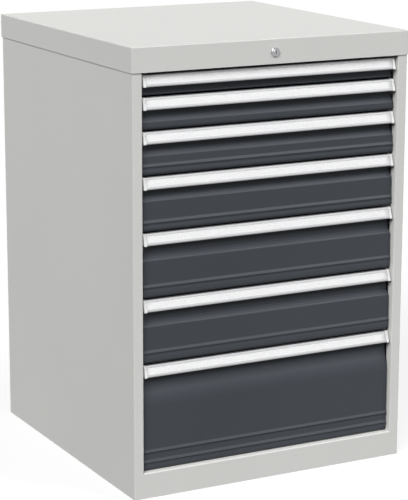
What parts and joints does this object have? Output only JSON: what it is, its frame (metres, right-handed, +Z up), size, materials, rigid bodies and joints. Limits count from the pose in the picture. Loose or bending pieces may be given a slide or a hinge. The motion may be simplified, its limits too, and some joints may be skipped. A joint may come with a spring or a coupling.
{
  "type": "multi-drawer cabinet",
  "caption": "Floor-standing sheet-steel workshop cabinet with full-extension drawers, full-width grip handles and one central lock.",
  "frame": {"origin": "middle of the cabinet's outline on the floor, lock nose included", "axes": "+X to the cabinet's right seen from the front, +Y to its back, +Z up"},
  "size_m": [0.705, 0.74, 1.019],
  "materials": {
    "casing_paint": "light grey powder coat, satin",
    "front_paint": "anthracite powder coat, satin",
    "tray_paint": "anthracite powder coat",
    "handle_aluminium": "satin anodised",
    "cap_plastic": "pale grey moulded",
    "zinc_steel": "zinc plated",
    "lock_chrome": "polished"
  },
  "bodies": {
    "casing": {"top_cover": "casing_paint", "left_side_panel": "casing_paint", "right_side_panel": "casing_paint", "back_panel": "casing_paint", "bottom_panel": "casing_paint", "plinth": "casing_paint", "left_uprights": "zinc_steel", "right_uprights": "zinc_steel", "left_cabinet_rails": "zinc_steel", "right_cabinet_rails": "zinc_steel", "lock_housing": "lock_chrome", "lock_nut": "lock_chrome", "lock_guides": "zinc_steel"},
    "drawer_1": {"drawer_1_tray": "tray_paint", "drawer_1_front": "front_paint", "drawer_1_handle": "handle_aluminium", "drawer_1_handle_caps": "cap_plastic", "drawer_1_drawer_rails": "zinc_steel"},
    "middle_slide_1": {"drawer_1_middle_rails": "zinc_steel"},
    "drawer_2": {"drawer_2_tray": "tray_paint", "drawer_2_front": "front_paint", "drawer_2_handle": "handle_aluminium", "drawer_2_handle_caps": "cap_plastic", "drawer_2_drawer_rails": "zinc_steel"},
    "middle_slide_2": {"drawer_2_middle_rails": "zinc_steel"},
    "drawer_3": {"drawer_3_tray": "tray_paint", "drawer_3_front": "front_paint", "drawer_3_handle": "handle_aluminium", "drawer_3_handle_caps": "cap_plastic", "drawer_3_drawer_rails": "zinc_steel"},
    "middle_slide_3": {"drawer_3_middle_rails": "zinc_steel"},
    "drawer_4": {"drawer_4_tray": "tray_paint", "drawer_4_front": "front_paint", "drawer_4_handle": "handle_aluminium", "drawer_4_handle_caps": "cap_plastic", "drawer_4_drawer_rails": "zinc_steel"},
    "middle_slide_4": {"drawer_4_middle_rails": "zinc_steel"},
    "drawer_5": {"drawer_5_tray": "tray_paint", "drawer_5_front": "front_paint", "drawer_5_handle": "handle_aluminium", "drawer_5_handle_caps": "cap_plastic", "drawer_5_drawer_rails": "zinc_steel"},
    "middle_slide_5": {"drawer_5_middle_rails": "zinc_steel"},
    "drawer_6": {"drawer_6_tray": "tray_paint", "drawer_6_front": "front_paint", "drawer_6_handle": "handle_aluminium", "drawer_6_handle_caps": "cap_plastic", "drawer_6_drawer_rails": "zinc_steel"},
    "middle_slide_6": {"drawer_6_middle_rails": "zinc_steel"},
    "drawer_7": {"drawer_7_tray": "tray_paint", "drawer_7_front": "front_paint", "drawer_7_handle": "handle_aluminium", "drawer_7_handle_caps": "cap_plastic", "drawer_7_drawer_rails": "zinc_steel"},
    "middle_slide_7": {"drawer_7_middle_rails": "zinc_steel"},
    "lock_cylinder": {"lock_cylinder": "lock_chrome", "lock_cam": "zinc_steel"},
    "lock_link": {"lock_link": "zinc_steel"},
    "lock_bar": {"lock_bar": "zinc_steel"}
  },
  "joints": [
    {"name": "drawer_1_slide", "type": "slide", "parent": "casing", "child": "drawer_1", "axis": [0, -1, 0], "range_m": [0, 0.6]},
    {"name": "middle_slide_1_travel", "type": "slide", "parent": "casing", "child": "middle_slide_1", "axis": [0, -1, 0], "range_m": [0, 0.3]},
    {"name": "drawer_2_slide", "type": "slide", "parent": "casing", "child": "drawer_2", "axis": [0, -1, 0], "range_m": [0, 0.6]},
    {"name": "middle_slide_2_travel", "type": "slide", "parent": "casing", "child": "middle_slide_2", "axis": [0, -1, 0], "range_m": [0, 0.3]},
    {"name": "drawer_3_slide", "type": "slide", "parent": "casing", "child": "drawer_3", "axis": [0, -1, 0], "range_m": [0, 0.6]},
    {"name": "middle_slide_3_travel", "type": "slide", "parent": "casing", "child": "middle_slide_3", "axis": [0, -1, 0], "range_m": [0, 0.3]},
    {"name": "drawer_4_slide", "type": "slide", "parent": "casing", "child": "drawer_4", "axis": [0, -1, 0], "range_m": [0, 0.6]},
    {"name": "middle_slide_4_travel", "type": "slide", "parent": "casing", "child": "middle_slide_4", "axis": [0, -1, 0], "range_m": [0, 0.3]},
    {"name": "drawer_5_slide", "type": "slide", "parent": "casing", "child": "drawer_5", "axis": [0, -1, 0], "range_m": [0, 0.6]},
    {"name": "middle_slide_5_travel", "type": "slide", "parent": "casing", "child": "middle_slide_5", "axis": [0, -1, 0], "range_m": [0, 0.3]},
    {"name": "drawer_6_slide", "type": "slide", "parent": "casing", "child": "drawer_6", "axis": [0, -1, 0], "range_m": [0, 0.6]},
    {"name": "middle_slide_6_travel", "type": "slide", "parent": "casing", "child": "middle_slide_6", "axis": [0, -1, 0], "range_m": [0, 0.3]},
    {"name": "drawer_7_slide", "type": "slide", "parent": "casing", "child": "drawer_7", "axis": [0, -1, 0], "range_m": [0, 0.6]},
    {"name": "middle_slide_7_travel", "type": "slide", "parent": "casing", "child": "middle_slide_7", "axis": [0, -1, 0], "range_m": [0, 0.3]},
    {"name": "lock_turn", "type": "hinge", "parent": "casing", "child": "lock_cylinder", "pos_m": [0, -0.366, 0.9895], "axis": [0, 1, 0], "range_deg": [0, 90]},
    {"name": "lock_link_travel", "type": "slide", "parent": "casing", "child": "lock_link", "axis": [-1, 0, 0], "range_m": [0, 0.008]},
    {"name": "lock_bar_lift", "type": "slide", "parent": "casing", "child": "lock_bar", "axis": [0, 0, 1], "range_m": [0, 0.008]}
  ],
  "couplings": [
    {"joint": "middle_slide_1_travel", "follows": "drawer_1_slide", "ratio": 0.5},
    {"joint": "middle_slide_2_travel", "follows": "drawer_2_slide", "ratio": 0.5},
    {"joint": "middle_slide_3_travel", "follows": "drawer_3_slide", "ratio": 0.5},
    {"joint": "middle_slide_4_travel", "follows": "drawer_4_slide", "ratio": 0.5},
    {"joint": "middle_slide_5_travel", "follows": "drawer_5_slide", "ratio": 0.5},
    {"joint": "middle_slide_6_travel", "follows": "drawer_6_slide", "ratio": 0.5},
    {"joint": "middle_slide_7_travel", "follows": "drawer_7_slide", "ratio": 0.5},
    {"joint": "lock_turn", "follows": "lock_bar_lift", "rad_per_m": 196.35},
    {"joint": "lock_link_travel", "follows": "lock_bar_lift", "ratio": 1}
  ]
}
